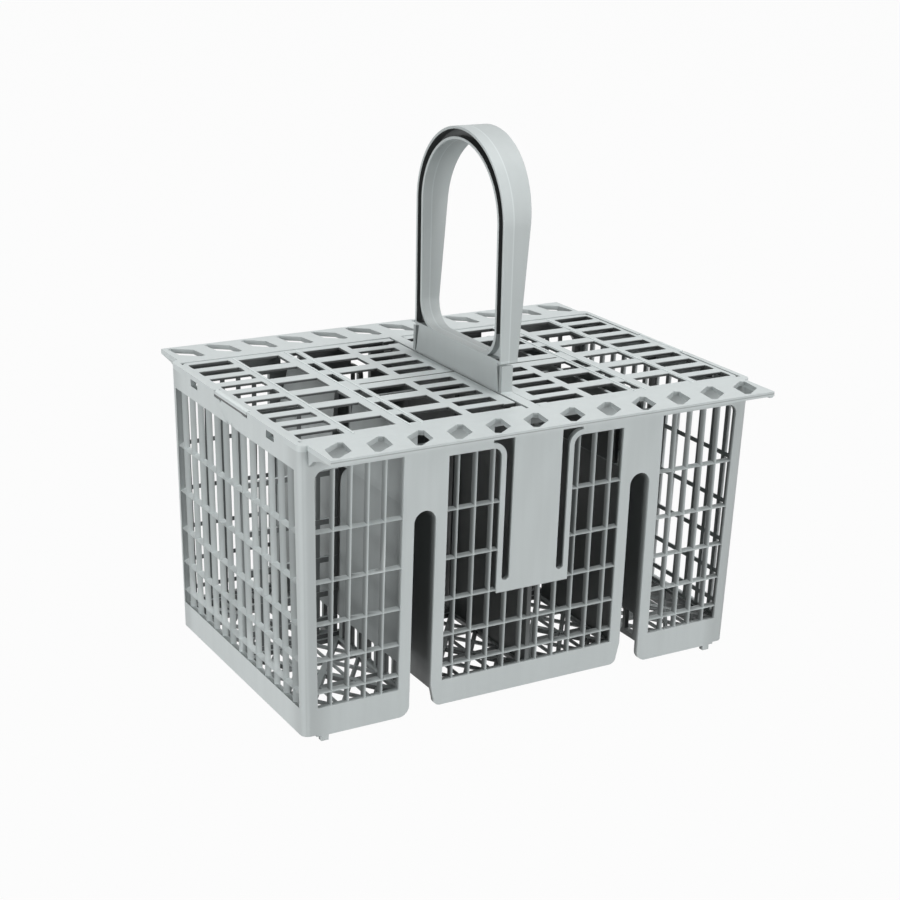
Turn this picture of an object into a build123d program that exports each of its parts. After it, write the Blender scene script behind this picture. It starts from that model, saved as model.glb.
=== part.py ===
from build123d import *
import math
import os

# Dishwasher cutlery basket: a lattice body with two tunnels for the rack's tines, two hinged lids and a handle.
# Millimetres. The origin is under the middle of the basket at the feet: +X along it, +Y to the back, +Z up.

# Body
LENGTH = 210.0              # over the side walls at the rim
WALL_DEPTH = 124.7          # over the front and back walls at the rim
BODY_HEIGHT = 120.0         # from the side walls' lower edge to the rim
SIDE_LEAN = 2.9             # how far each side wall leans in at its lower edge
FRONT_LEAN = 1.3            # the same for the front and back walls
CORNER_RADIUS = 3.2
WALL = 2.4
INNER_PLATE = 2.0           # tunnel walls, partitions and the floor
FLOOR_RISE = 10.0           # floor's top above the side walls' lower edge
END_SKIRT_DROP = 0.8        # the front skirt of the end sections hangs below the side walls
MIDDLE_SKIRT_LIFT = 0.8     # the middle skirt ends above them
SKIRT_CORNER = 4.5          # rounded corner of an end skirt beside a tunnel
SKIRT_TAPER = 1.4           # the middle skirt narrows by this much on each side
MIDDLE_CORNER = 3.0         # and has rounded corners too
FOOT_HEIGHT = 3.0
FOOT_WIDTH = 3.2
FOOT_INSET = 9.2            # from the outer face of the side wall at its foot

# Tunnels
TUNNEL_CENTRE = 50.75
TUNNEL_WIDTH = 9.8
TUNNEL_HEIGHT = 86.0        # crown above the side walls' lower edge
TUNNEL_SPLIT = 5.8          # gap between the front and back halves of a tunnel's lining
LINING_CORNER = 9.5         # rounded upper end of a half at that gap

# Lattice windows
BAR_HEIGHT = 2.0            # level bars at the inner face, from where they taper outwards to a ridge
BAR_WIDTH = 2.2             # upright bars at the inner face
BAR_RIDGE = 0.15            # ridge of the bars under the wall's outer face
ROW_LEVELS = (17.3, 30.7, 46.0, 63.5, 84.0)     # horizontal bars above the side walls' lower edge
TONGUE_ROW_COUNT = 3        # window rows under the middle tongue
WINDOW_SILL = 11.5
END_HEAD = 10.5             # solid band over the windows of the side walls and end sections
MIDDLE_HEAD = 13.0          # and of the middle section
CORNER_POST = 6.2           # solid corner from the side wall's outer face to the first window
WINDOW_CORNER = 4.0         # rounded upper window corners
TUNNEL_FRAME = 4.9          # solid strip between a tunnel and the windows beside it
END_BARS = 4
MIDDLE_PITCH = 8.0
MIDDLE_BARS = 10
SIDE_PITCH = 8.6
SIDE_BARS = 13
SIDE_POST = 4.8             # solid strip from the front wall's outer face to the side windows

# Tongue between the two slits of the front and back walls
TONGUE_WIDTH = 22.4
SLIT = 3.6
STRIP = 2.2                 # curved strip between a slit and the window beside it
SLIT_FOOT = 4.0             # solid band between the tongue's row bar and the slit

# Flanges
FLANGE_REACH = 19.4         # beyond the wall
FLANGE_LENGTH = 203.0
FLANGE = 2.0
LIP = 4.5                   # the flange's inner lip, from the wall's outer face inwards
HOLE_COUNT = 12
HOLE_PITCH = 17.06
HOLE_CORNERS = ((5.7, 7.2), (3.7, 8.2), (-4.2, 2.7))    # half a slanted hole's outline from its centre
GUSSET = 1.8                # plate under each end of a flange
GUSSET_DROP = 6.5
GUSSET_SWEEP = ((0.2, 0.5), (0.5, 0.22), (1.0, 0.08))   # its hollow edge: share of the reach, share of the drop
GUSSET_INSET = 0.5          # from the flange's end
DRAIN_WIDTH = 9.0           # slots in the wall under a flange
DRAIN_HEIGHT = 5.0

# Partitions
PARTITION_COLUMNS = 4
PARTITION_DROP = 6.0        # top of the cross partitions under the rim
PARTITION_EDGE = 2.0        # bars round their windows
FLOOR_RIB = 2.6
FLOOR_CELLS = 1             # braced cells along the depth of a compartment

# Lids
LID = 2.0
LID_SINK = 0.3              # lid's top under the rim
LID_GAP = 0.35              # free slit round a lid
LID_CORNER = 3.0
REST_GAP = 0.3              # between a lid and the plates that carry it
BAR_HALF = 2.6              # half the width of the middle bar between the lids
BAR_DROP = 5.0
INNER_GAP = 0.7             # between the bar and a lid's inner edge
PIN_RADIUS = 1.0
PIN_LENGTH = 2.4
PIN_CLEARANCE = 0.06
PIN_INSET = 1.4             # hinge axis from the lid's inner edge
BOSS_WIDTH = 15.0           # pin boss behind the tongue
BOSS_DROP = 5.5
TAB_WIDTH = 31.4            # finger tab over the rim
TAB_GAP = 0.4
FINGER_RADIUS = 11.0        # finger recess under the tab
FINGER_DEPTH = 0.7
LATCH_OFFSET = 37.0
LATCH_WIDTH = 7.0
LATCH_HEIGHT = 3.0
LATCH_DROP = 2.0            # latch window's top under the rim
HOOK_GAP = 0.6              # hook's side clearance in its window

# Slots of a lid, named from its outer edge to the bar
OUTER_SLOTS = (82.0, 100.5, 10, 11.4, 4.7)      # from x, to x, count, pitch, width
OUTER_HOLES = (59.6, 78.3, 6, 18.7, 12.6)
SPINE_SLOTS = (51.0, 54.3, 6, 17.8, 11.6)
INNER_HOLES = (30.3, 48.0, 6, 17.8, 11.6)
INNER_SLOTS = (8.3, 26.3, 10, 10.55, 4.7)
INNER_SHIFT = 3.4           # extra room at mid depth in the rows next to the bar
CENTRE_SLIT = 1.2

# Handle
HANDLE_HEIGHT = 102.0       # above the rim
HANDLE_LENGTH = 71.0        # outside the legs
HANDLE_BAND = 5.4           # from the outer to the inner face of the loop
HANDLE_FLANGE = 1.2         # the two wide bands of the H section
HANDLE_WEB = 1.8
HANDLE_WEB_OFFSET = 1.3     # of the web's middle from the bar's
HANDLE_LEFT = (2.6, 3.7)    # reach to the left of the bar's middle, at the foot and at the top
HANDLE_RIGHT = (5.4, 11.6)  # and to the right
HANDLE_FOOT = 11.7          # underside of the legs above the rim
HANDLE_SOLE = 13.0          # lower edge of the loop's opening above the rim
HANDLE_INNER_CORNER = 12.0
BASE_LENGTH = 68.4          # plate under the loop at the rim
BASE_TOP_LENGTH = 64.4      # and at the legs
BASE_WIDTH = 5.2
POST_THICK = 1.8
POST_HEIGHT = 11.0
POST_GAP = 0.6
TENON_LENGTH = 40.0
TENON_DEPTH = 3.5
TENON_WIDTH = 2.4
TENON_GAP = 0.1

# Heights and half sizes that follow from them
BASE_Z = FOOT_HEIGHT
RIM_Z = BASE_Z + BODY_HEIGHT
SKIRT_Z = BASE_Z - END_SKIRT_DROP
FLOOR_Z = BASE_Z + FLOOR_RISE
LID_TOP = RIM_Z - LID_SINK
PLATE_TOP = LID_TOP - LID - REST_GAP
TUNNEL_IN = TUNNEL_CENTRE - TUNNEL_WIDTH / 2
TUNNEL_OUT = TUNNEL_CENTRE + TUNNEL_WIDTH / 2
TUNNEL_SPRING = BASE_Z + TUNNEL_HEIGHT - TUNNEL_WIDTH / 2
LIP_Y = WALL_DEPTH / 2 - LIP
LID_Y = LIP_Y - LID_GAP
LID_IN = BAR_HALF + INNER_GAP
LID_OUT = LENGTH / 2 - WALL - LID_GAP
HINGE_X = LID_IN + PIN_INSET
HINGE_Z = LID_TOP - LID / 2
FAR = 2 * LENGTH            # longer than any cut has to be


def half_length(z):
    return LENGTH / 2 - SIDE_LEAN * (RIM_Z - z) / BODY_HEIGHT


def half_depth(z):
    return WALL_DEPTH / 2 - FRONT_LEAN * (RIM_Z - z) / BODY_HEIGHT


def block(x0, x1, y0, y1, z0, z1):
    return Pos((x0 + x1) / 2, (y0 + y1) / 2, (z0 + z1) / 2) * Box(x1 - x0, y1 - y0, z1 - z0)


def both_sides(shape, plane):
    return [shape, mirror(shape, about=plane)]


def leaning_block(inset, z0, z1):
    """Block with the walls' lean, inset from their outer faces."""
    low_x, low_y = half_length(z0) - inset, half_depth(z0) - inset
    high_x, high_y = half_length(z1) - inset, half_depth(z1) - inset
    frustum = Solid.make_wedge(2 * low_x, z1 - z0, 2 * low_y, low_x - high_x, low_y - high_y,
                               low_x + high_x, low_y + high_y)
    return Pos(-low_x, low_y, z0) * Rot(90, 0, 0) * frustum


def centred(count, pitch, middle=0.0):
    return [middle + (k - (count - 1) / 2) * pitch for k in range(count)]


def shell():
    """The four leaning walls, open at the top and below."""
    outer = leaning_block(0, SKIRT_Z, RIM_Z)
    corners = [edge for edge in outer.edges() if edge.bounding_box().size.Z > BODY_HEIGHT / 2]
    outer = fillet(corners, CORNER_RADIUS)
    inner = leaning_block(WALL, SKIRT_Z - WALL, RIM_Z + WALL)
    middle = block(-TUNNEL_IN, TUNNEL_IN, -FAR, FAR, 0, BASE_Z + MIDDLE_SKIRT_LIFT)
    side = half_length(BASE_Z) - CORNER_RADIUS - WALL
    ends = both_sides(block(side, FAR, -FAR, FAR, 0, BASE_Z), Plane.YZ)
    return outer - inner - [middle] - ends


def front_plane():
    """On the front wall's outer face: x along the basket, y up the slope, z outwards."""
    return Plane((0, -half_depth(BASE_Z), BASE_Z), x_dir=(1, 0, 0), z_dir=(0, -BODY_HEIGHT, -FRONT_LEAN))


def side_plane():
    """The same on the right wall, x towards the back."""
    return Plane((half_length(BASE_Z), 0, BASE_Z), x_dir=(0, 1, 0), z_dir=(BODY_HEIGHT, 0, -SIDE_LEAN))


def wedge_bar(start, across, along, length, width, lean):
    """Bar of triangular section: flat on the wall's inner face, a ridge just under the outer one."""
    depth = WALL / math.hypot(1, lean / BODY_HEIGHT)
    profile = Polyline((-width / 2, depth), (0, BAR_RIDGE), (width / 2, depth), close=True)
    return extrude(Plane(start, x_dir=across, z_dir=along) * make_face(profile), length)


def upright_bar(wall, lean, x, z0, z1):
    """Upright bar whose ends are let into the frame by half a wall."""
    slope = math.hypot(1, lean / BODY_HEIGHT)
    start = wall.from_local_coords((x, slope * (z0 - WALL / 2 - BASE_Z), 0))
    return wedge_bar(start, wall.x_dir, wall.y_dir, slope * (z1 - z0 + WALL), BAR_WIDTH, lean)


def level_bar(wall, lean, z, x0, x1):
    slope = math.hypot(1, lean / BODY_HEIGHT)
    start = wall.from_local_coords((x0 - WALL / 2, slope * (z - BASE_Z), 0))
    return wedge_bar(start, -wall.y_dir, wall.x_dir, x1 - x0 + WALL, BAR_HEIGHT, lean)


def row_heights():
    return [BASE_Z + level for level in ROW_LEVELS]


def side_lattice():
    """Opening of the right wall and its bars."""
    half = half_depth(RIM_Z) - SIDE_POST
    z0 = BASE_Z + WINDOW_SILL
    z1 = RIM_Z - END_HEAD
    opening = block(half_length(BASE_Z) - 2 * WALL, half_length(RIM_Z) + WALL, -half, half, z0, z1)
    wall = side_plane()
    bars = [upright_bar(wall, SIDE_LEAN, y, z0, z1) for y in centred(SIDE_BARS, SIDE_PITCH)]
    bars += [level_bar(wall, SIDE_LEAN, z, -half, half) for z in row_heights()]
    return [opening], bars


def end_lattice(y0, y1):
    """Opening of the front wall's right end section, parallel to the leaning corner post, and its bars."""
    inner = TUNNEL_OUT + TUNNEL_FRAME
    z0 = BASE_Z + WINDOW_SILL
    z1 = RIM_Z - END_HEAD
    low = half_length(z0) - CORNER_POST
    high = half_length(z1) - CORNER_POST
    outline = make_face(Polyline((inner, z0), (low, z0), (high, z1), (inner, z1), close=True))
    outline = fillet(outline.vertices().group_by(Axis.Y)[-1].sort_by(Axis.X)[-1], WINDOW_CORNER)
    opening = Pos(0, y0, 0) * extrude(Plane.XZ * outline, -(y1 - y0))
    wall = front_plane()
    step = ((low + high) / 2 - inner) / (END_BARS + 1)
    bars = [upright_bar(wall, FRONT_LEAN, inner + step * (k + 1), z0, z1) for k in range(END_BARS)]
    for z in row_heights():
        bars.append(level_bar(wall, FRONT_LEAN, z, inner, half_length(z) - CORNER_POST))
    return [opening], bars


def middle_lattice(y0, y1):
    """Openings of the front wall's middle section, below the tongue and on both its sides, and their bars."""
    edge = TUNNEL_IN - TUNNEL_FRAME
    strip = TONGUE_WIDTH / 2 + SLIT + STRIP
    rows = row_heights()
    tongue_row = TONGUE_ROW_COUNT - 1
    z0 = BASE_Z + WINDOW_SILL
    tongue = rows[tongue_row] - BAR_HEIGHT / 2
    z1 = RIM_Z - MIDDLE_HEAD
    low = block(-edge, edge, y0, y1, z0, tongue)
    shaft = block(strip, edge, y0, y1, tongue - BAR_HEIGHT, z1)
    corner = shaft.edges().filter_by(Axis.Y).group_by(Axis.Z)[-1].sort_by(Axis.X)[0]
    shaft = fillet(corner, WINDOW_CORNER)
    wall = front_plane()
    bars = []
    for x in centred(MIDDLE_BARS, MIDDLE_PITCH):
        bars.append(upright_bar(wall, FRONT_LEAN, x, z0, z1 if abs(x) > strip else tongue))
    for z in rows[:tongue_row]:
        bars.append(level_bar(wall, FRONT_LEAN, z, -edge, edge))
    for z in rows[tongue_row:]:
        bars.append(level_bar(wall, FRONT_LEAN, z, strip, edge))
        bars.append(level_bar(wall, FRONT_LEAN, z, -edge, -strip))
    return [low] + both_sides(shaft, Plane.YZ), bars


def tongue_slit(y0, y1):
    """One slit beside the tongue, flared outwards round the window's corner at its top."""
    x0 = TONGUE_WIDTH / 2
    x1 = x0 + SLIT
    foot = BASE_Z + ROW_LEVELS[TONGUE_ROW_COUNT - 1] + SLIT_FOOT + SLIT / 2
    top = RIM_Z - FLANGE - INNER_PLATE
    bend = (x1 + STRIP + WINDOW_CORNER, RIM_Z - MIDDLE_HEAD - WINDOW_CORNER)
    face = Pos((x0 + x1) / 2, (foot + top) / 2) * Rectangle(SLIT, top - foot)
    face += Pos((x0 + x1) / 2, foot) * Circle(SLIT / 2)
    flare = Pos((x1 + bend[0]) / 2, (bend[1] + top) / 2) * Rectangle(bend[0] - x1, top - bend[1])
    face += flare - Pos(*bend) * Circle(bend[0] - x1)
    slit = extrude(Plane.XZ * face, -(y1 - y0))
    return Pos(0, y0, 0) * slit


def drain_slots(y0, y1):
    """Slots under the front flange, at the tongue and over the tunnels."""
    top = RIM_Z - FLANGE
    slot = block(-DRAIN_WIDTH / 2, DRAIN_WIDTH / 2, y0, y1, top - DRAIN_HEIGHT, top)
    return [Pos(x, 0, 0) * slot for x in (-TUNNEL_CENTRE, 0, TUNNEL_CENTRE)]


def wall_lattice():
    """Cuts and bars of all four walls."""
    y0 = -half_depth(RIM_Z) - WALL
    y1 = -half_depth(SKIRT_Z) + 2 * WALL
    cuts, bars = end_lattice(y0, y1)
    cuts += [mirror(cut, about=Plane.YZ) for cut in cuts]
    bars += [mirror(bar, about=Plane.YZ) for bar in bars]
    middle_cuts, middle_bars = middle_lattice(y0, y1)
    cuts += middle_cuts + both_sides(tongue_slit(y0, y1), Plane.YZ) + drain_slots(y0, y1)
    bars += middle_bars
    side_cuts, side_bars = side_lattice()
    cuts = cuts + [mirror(cut, about=Plane.XZ) for cut in cuts]
    bars = bars + [mirror(bar, about=Plane.XZ) for bar in bars]
    cuts += side_cuts + [mirror(cut, about=Plane.YZ) for cut in side_cuts]
    bars += side_bars + [mirror(bar, about=Plane.YZ) for bar in side_bars]
    return cuts, bars


def tunnel_profile():
    """Arched tunnel with the skirts' rounded corners beside it."""
    skirt_z = BASE_Z + MIDDLE_SKIRT_LIFT
    with BuildSketch() as profile:
        with BuildLine():
            start = (TUNNEL_IN - SKIRT_TAPER - MIDDLE_CORNER, skirt_z)
            middle_foot = (TUNNEL_IN - SKIRT_TAPER, skirt_z + MIDDLE_CORNER)
            foot = (TUNNEL_OUT, SKIRT_Z + SKIRT_CORNER)
            spring_in = (TUNNEL_IN, TUNNEL_SPRING)
            spring_out = (TUNNEL_OUT, TUNNEL_SPRING)
            crown = (TUNNEL_CENTRE, TUNNEL_SPRING + TUNNEL_WIDTH / 2)
            flare_end = (TUNNEL_OUT + SKIRT_CORNER, SKIRT_Z)
            Line((start[0], 0), start)
            RadiusArc(start, middle_foot, -MIDDLE_CORNER)
            Polyline(middle_foot, (TUNNEL_IN, FLOOR_Z), spring_in)
            ThreePointArc(spring_in, crown, spring_out)
            Line(spring_out, foot)
            RadiusArc(foot, flare_end, -SKIRT_CORNER)
            Polyline(flare_end, (flare_end[0], 0), (start[0], 0))
        make_face()
    return profile.sketch


def tunnel_cut():
    return Pos(0, FAR / 2, 0) * extrude(Plane.XZ * tunnel_profile(), FAR)


def tunnel_lining():
    """Back half of the right tunnel's lining, still uncut: a hood rounded at its end at mid depth."""
    half = TUNNEL_WIDTH / 2 + INNER_PLATE
    top = BASE_Z + TUNNEL_HEIGHT + INNER_PLATE
    hood = block(TUNNEL_CENTRE - half, TUNNEL_CENTRE + half, TUNNEL_SPLIT / 2, half_depth(FLOOR_Z) - WALL / 2,
                 FLOOR_Z - INNER_PLATE, top)
    corner = hood.edges().filter_by(Axis.X).group_by(Axis.Z)[-1].sort_by(Axis.Y)[0]
    return fillet(corner, LINING_CORNER)


def cross_partition():
    """Right half of the lattice plate at mid depth, from the floor to just under a lid."""
    half = INNER_PLATE / 2
    x0 = half
    x1 = half_length(FLOOR_Z) - WALL / 2
    z0 = FLOOR_Z - INNER_PLATE
    z1 = RIM_Z - PARTITION_DROP
    plate = block(x0, x1, -half, half, z0, z1)
    step = (x1 - x0 - PARTITION_EDGE) / PARTITION_COLUMNS
    window = block(x0 + PARTITION_EDGE, x0 + step, -WALL, WALL, FLOOR_Z + PARTITION_EDGE, z1 - PARTITION_EDGE)
    return plate - [Pos(step * k, 0, 0) * window for k in range(PARTITION_COLUMNS)]


def compartments():
    """Floor rectangles of the right half: middle and end section, in front of and behind the partition."""
    y = (INNER_PLATE / 2, half_depth(FLOOR_Z) - WALL)
    end = half_length(FLOOR_Z) - WALL
    return [((INNER_PLATE / 2, TUNNEL_IN - INNER_PLATE), y), ((TUNNEL_OUT + INNER_PLATE, end), y)]


def floor_cells():
    """Triangular drain openings: each compartment's floor is braced cells with crossed ribs."""
    cells = []
    for (x0, x1), (y0, y1) in compartments():
        width = x1 - x0
        depth = (y1 - y0) / FLOOR_CELLS
        angle = math.degrees(math.atan2(depth, width))
        ribs = [Rot(0, 0, turn) * Rectangle(width + depth, FLOOR_RIB) for turn in (angle, -angle)]
        cell = Rectangle(width - FLOOR_RIB, depth - FLOOR_RIB) - ribs
        for k in range(FLOOR_CELLS):
            opening = Pos((x0 + x1) / 2, y0 + depth * (k + 0.5), FLOOR_Z - 2 * INNER_PLATE) * cell
            cells.append(extrude(opening, 4 * INNER_PLATE))
    for cell in list(cells):
        cells.append(mirror(cell, about=Plane.XZ))
    return cells + [mirror(cell, about=Plane.YZ) for cell in cells]


def floor_plate():
    return leaning_block(WALL / 2, FLOOR_Z - INNER_PLATE, FLOOR_Z) - floor_cells()


def flange():
    """Front flange with its inner lip, slanted holes and end gussets."""
    wall_y = -WALL_DEPTH / 2
    outer = wall_y - FLANGE_REACH
    z0 = RIM_Z - FLANGE
    plate = block(-FLANGE_LENGTH / 2, FLANGE_LENGTH / 2, outer, wall_y + WALL / 2, z0, RIM_Z)
    lip = block(-LENGTH / 2 + WALL / 2, LENGTH / 2 - WALL / 2, wall_y + WALL / 2, -LIP_Y, z0, RIM_Z)
    boss = block(-BOSS_WIDTH / 2, BOSS_WIDTH / 2, wall_y + WALL / 2, -LIP_Y, RIM_Z - BOSS_DROP, RIM_Z)
    side = [(wall_y + WALL / 2, z0), (wall_y + WALL / 2, z0 - GUSSET_DROP), (wall_y, z0 - GUSSET_DROP)]
    side += [(wall_y - reach * FLANGE_REACH, z0 - drop * GUSSET_DROP) for reach, drop in GUSSET_SWEEP]
    side.append((outer, z0))
    rib = extrude(Plane.YZ * make_face(Polyline(side, close=True)), GUSSET / 2, both=True)
    end = FLANGE_LENGTH / 2 - GUSSET_INSET - GUSSET / 2
    corners = list(HOLE_CORNERS) + [(-x, -y) for x, y in HOLE_CORNERS]
    hole = extrude(make_face(Polyline(corners, close=True)), 3 * FLANGE)
    middle = (outer + wall_y) / 2
    holes = [Pos(x, middle, z0 - FLANGE) * hole for x in centred(HOLE_COUNT, HOLE_PITCH)]
    pin_hole = Rot(90, 0, 0) * Cylinder(PIN_RADIUS + PIN_CLEARANCE, 2 * FLANGE_REACH)
    sockets = [Pos(x, wall_y, HINGE_Z) * pin_hole for x in (-HINGE_X, HINGE_X)]
    return (plate - holes) + [(lip + boss) - sockets, Pos(-end, 0, 0) * rib, Pos(end, 0, 0) * rib]


def middle_wall():
    """Wall along mid length with the bar between the lids and the posts that hold the handle."""
    depth = half_depth(FLOOR_Z) - WALL / 2
    plate = block(-INNER_PLATE / 2, INNER_PLATE / 2, -depth, depth, FLOOR_Z - INNER_PLATE, RIM_Z - BAR_DROP)
    bar_end = LIP_Y + WALL / 2
    bar = block(-BAR_HALF, BAR_HALF, -bar_end, bar_end, RIM_Z - BAR_DROP, RIM_Z)
    inner = BASE_LENGTH / 2 + POST_GAP
    post = block(-BAR_HALF, BAR_HALF, inner, inner + POST_THICK, RIM_Z - WALL, RIM_Z + POST_HEIGHT)
    mortise_x = TENON_WIDTH / 2 + TENON_GAP
    mortise_y = TENON_LENGTH / 2 + TENON_GAP
    mortise = block(-mortise_x, mortise_x, -mortise_y, mortise_y, RIM_Z - TENON_DEPTH - TENON_GAP, RIM_Z + WALL)
    return [bar - mortise, plate] + both_sides(post, Plane.XZ)


def rim_cuts():
    """Notches for the finger tabs, finger recesses and latch windows in the side walls."""
    half = TAB_WIDTH / 2 + TAB_GAP
    cuts = [block(LENGTH / 2 - 3 * WALL, FAR, -half, half, PLATE_TOP, FAR)]
    recess = Pos(LENGTH / 2, 0, RIM_Z) * Rot(0, 90, 0) * Cylinder(FINGER_RADIUS, 2 * FINGER_DEPTH)
    cuts.append(recess)
    top = RIM_Z - LATCH_DROP
    window = block(LENGTH / 2 - 2 * WALL, FAR, LATCH_OFFSET - LATCH_WIDTH / 2, LATCH_OFFSET + LATCH_WIDTH / 2,
                   top - LATCH_HEIGHT, top)
    cuts += both_sides(window, Plane.XZ)
    return cuts + [mirror(cut, about=Plane.YZ) for cut in cuts]


def feet():
    x = half_length(BASE_Z) - FOOT_INSET
    y = half_depth(SKIRT_Z)
    foot = block(x - FOOT_WIDTH / 2, x + FOOT_WIDTH / 2, y - WALL, y, 0, BASE_Z + WALL / 2)
    pair = both_sides(foot, Plane.XZ)
    return pair + [mirror(f, about=Plane.YZ) for f in pair]


def basket_body():
    tunnels = both_sides(tunnel_cut(), Plane.YZ)
    cuts, bars = wall_lattice()
    walls = shell() - (tunnels + rim_cuts() + cuts)
    half = both_sides(tunnel_lining() - tunnels, Plane.XZ) + [cross_partition() - tunnels]
    inside = [floor_plate() - tunnels] + half + [mirror(part, about=Plane.YZ) for part in half]
    outside = both_sides(flange(), Plane.XZ) + feet()
    return walls + (bars + inside + middle_wall() + outside)


def slot_row(row, shift=0.0):
    """One row of like openings along a lid's depth."""
    x0, x1, count, pitch, width = row
    cuts = []
    for y in centred(count, pitch):
        y += math.copysign(shift, y)
        cuts.append(block(x0, x1, y - width / 2, y + width / 2, 0, FAR))
    return cuts


def right_lid():
    """Flat grille with a finger tab, latch hooks and two hinge pins on flexible arms."""
    z0 = LID_TOP - LID
    plate = Pos((LID_IN + LID_OUT) / 2, 0, LID_TOP - LID / 2) * Box(LID_OUT - LID_IN, 2 * LID_Y, LID)
    corners = plate.edges().filter_by(Axis.Z).group_by(Axis.X)[-1]
    plate = fillet(corners, LID_CORNER)
    tab = block(LID_OUT - LID_CORNER, LENGTH / 2, -TAB_WIDTH / 2, TAB_WIDTH / 2, z0, LID_TOP)
    hook_half = LATCH_WIDTH / 2 - HOOK_GAP
    hook = block(LID_OUT - WALL, LID_OUT, LATCH_OFFSET - hook_half, LATCH_OFFSET + hook_half,
                 RIM_Z - LATCH_DROP - LATCH_HEIGHT, z0)
    pin = Pos(HINGE_X, LID_Y, HINGE_Z) * Rot(90, 0, 0) * Cylinder(PIN_RADIUS, 2 * PIN_LENGTH)
    x0, x1, count, pitch, width = INNER_SLOTS
    arm = INNER_SHIFT + pitch * (count - 1) / 2
    arm_slot = block(0, x1, arm - width / 2, arm + width / 2, 0, FAR)
    cuts = slot_row(OUTER_SLOTS) + slot_row(OUTER_HOLES) + slot_row(SPINE_SLOTS, INNER_SHIFT)
    cuts += slot_row(INNER_HOLES, INNER_SHIFT) + slot_row(INNER_SLOTS, INNER_SHIFT)
    cuts += both_sides(arm_slot, Plane.XZ)
    cuts.append(block(0, INNER_HOLES[1], -CENTRE_SLIT / 2, CENTRE_SLIT / 2, 0, FAR))
    return (plate - cuts) + [tab] + both_sides(hook, Plane.XZ) + both_sides(pin, Plane.XZ)


def loop_outline(inset, bottom, corner):
    """Side view of the loop: straight legs under a half circle, with rounded lower corners."""
    radius = HANDLE_LENGTH / 2 - inset
    spring = RIM_Z + HANDLE_HEIGHT - HANDLE_LENGTH / 2
    legs = Pos(0, (bottom + spring) / 2) * Rectangle(2 * radius, spring - bottom)
    outline = legs + Pos(0, spring) * Circle(radius)
    if corner > 0:
        low = outline.vertices().group_by(Axis.Y)[0]
        outline = fillet(low, corner)
    return outline


def handle():
    """Loop of H section on a flat base: flush with it on the left, flared to the right towards the top."""
    foot = RIM_Z + HANDLE_FOOT
    sole = RIM_Z + HANDLE_SOLE
    top = RIM_Z + HANDLE_HEIGHT
    ring = loop_outline(0, foot, 0) - loop_outline(HANDLE_BAND, sole, HANDLE_INNER_CORNER)
    loop = extrude(Plane.YZ * ring, HANDLE_LENGTH, both=True)
    edge = [(-HANDLE_LEFT[0], foot), (-HANDLE_LEFT[1], top), (HANDLE_RIGHT[1], top), (HANDLE_RIGHT[0], foot)]
    taper = extrude(Plane.XZ * make_face(Polyline(edge, close=True)), HANDLE_LENGTH, both=True)
    hollow = loop_outline(HANDLE_FLANGE, sole, 0)
    hollow -= loop_outline(HANDLE_BAND - HANDLE_FLANGE, sole - HANDLE_FLANGE, HANDLE_INNER_CORNER)
    right = extrude(Plane.YZ.offset(HANDLE_WEB_OFFSET + HANDLE_WEB / 2) * hollow, HANDLE_LENGTH)
    left = extrude(Plane.YZ.offset(HANDLE_WEB_OFFSET - HANDLE_WEB / 2) * hollow, -HANDLE_LENGTH)
    plate = [(-BASE_LENGTH / 2, RIM_Z), (BASE_LENGTH / 2, RIM_Z), (BASE_TOP_LENGTH / 2, foot),
             (BASE_TOP_LENGTH / 2, sole), (-BASE_TOP_LENGTH / 2, sole), (-BASE_TOP_LENGTH / 2, foot)]
    base = extrude(Plane.YZ * make_face(Polyline(plate, close=True)), BASE_WIDTH / 2, both=True)
    base -= extrude(Plane.YZ * loop_outline(HANDLE_BAND, sole, HANDLE_INNER_CORNER), BASE_WIDTH, both=True)
    tenon = block(-TENON_WIDTH / 2, TENON_WIDTH / 2, -TENON_LENGTH / 2, TENON_LENGTH / 2,
                  RIM_Z - TENON_DEPTH, RIM_Z + HANDLE_FLANGE)
    return (loop & taper) - [left, right] + [base, tenon]


os.makedirs("parts", exist_ok=True)
lid = right_lid()
export_step(basket_body(), "parts/basket_body.step")
export_step(lid, "parts/right_lid.step")
export_step(mirror(lid, about=Plane.YZ), "parts/left_lid.step")
export_step(handle(), "parts/handle.step")
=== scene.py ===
import math

import bmesh
import bpy
from mathutils import Matrix, Vector


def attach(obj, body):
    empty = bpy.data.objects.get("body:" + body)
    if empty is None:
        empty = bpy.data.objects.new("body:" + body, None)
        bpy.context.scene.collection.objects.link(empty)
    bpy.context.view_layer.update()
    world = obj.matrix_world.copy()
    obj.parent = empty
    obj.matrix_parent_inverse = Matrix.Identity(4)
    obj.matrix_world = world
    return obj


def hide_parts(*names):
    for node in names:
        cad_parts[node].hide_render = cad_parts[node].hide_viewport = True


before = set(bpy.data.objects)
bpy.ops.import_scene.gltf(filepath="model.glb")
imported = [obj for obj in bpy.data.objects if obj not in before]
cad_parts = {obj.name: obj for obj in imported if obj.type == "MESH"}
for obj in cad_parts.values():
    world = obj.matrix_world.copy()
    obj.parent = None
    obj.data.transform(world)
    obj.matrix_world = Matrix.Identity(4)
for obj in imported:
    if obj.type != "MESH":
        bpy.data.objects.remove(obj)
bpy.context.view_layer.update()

# Basket body
# One injection moulding in pale grey polypropylene: lattice walls on a skirt, two arched tunnels, flanges
# front and back and the bar between the lids. Rows of drain slots pierce the tunnel linings above the floor.
MILLIMETRE = 0.001
MERGE_DISTANCE = 0.005 * MILLIMETRE
DRAIN_PITCH = 7.5
DRAIN_WIDTH = 5.8
DRAIN_ROW = (6.0, 50.0)             # first slot from mid depth, and the row's length
DRAIN_FOOT, DRAIN_HEAD = 13.2, 23.0
DRAIN_REACH = (54.5, 58.5)          # from and to x, past both faces of a lining
DRAIN_CORNER = 0.6


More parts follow.
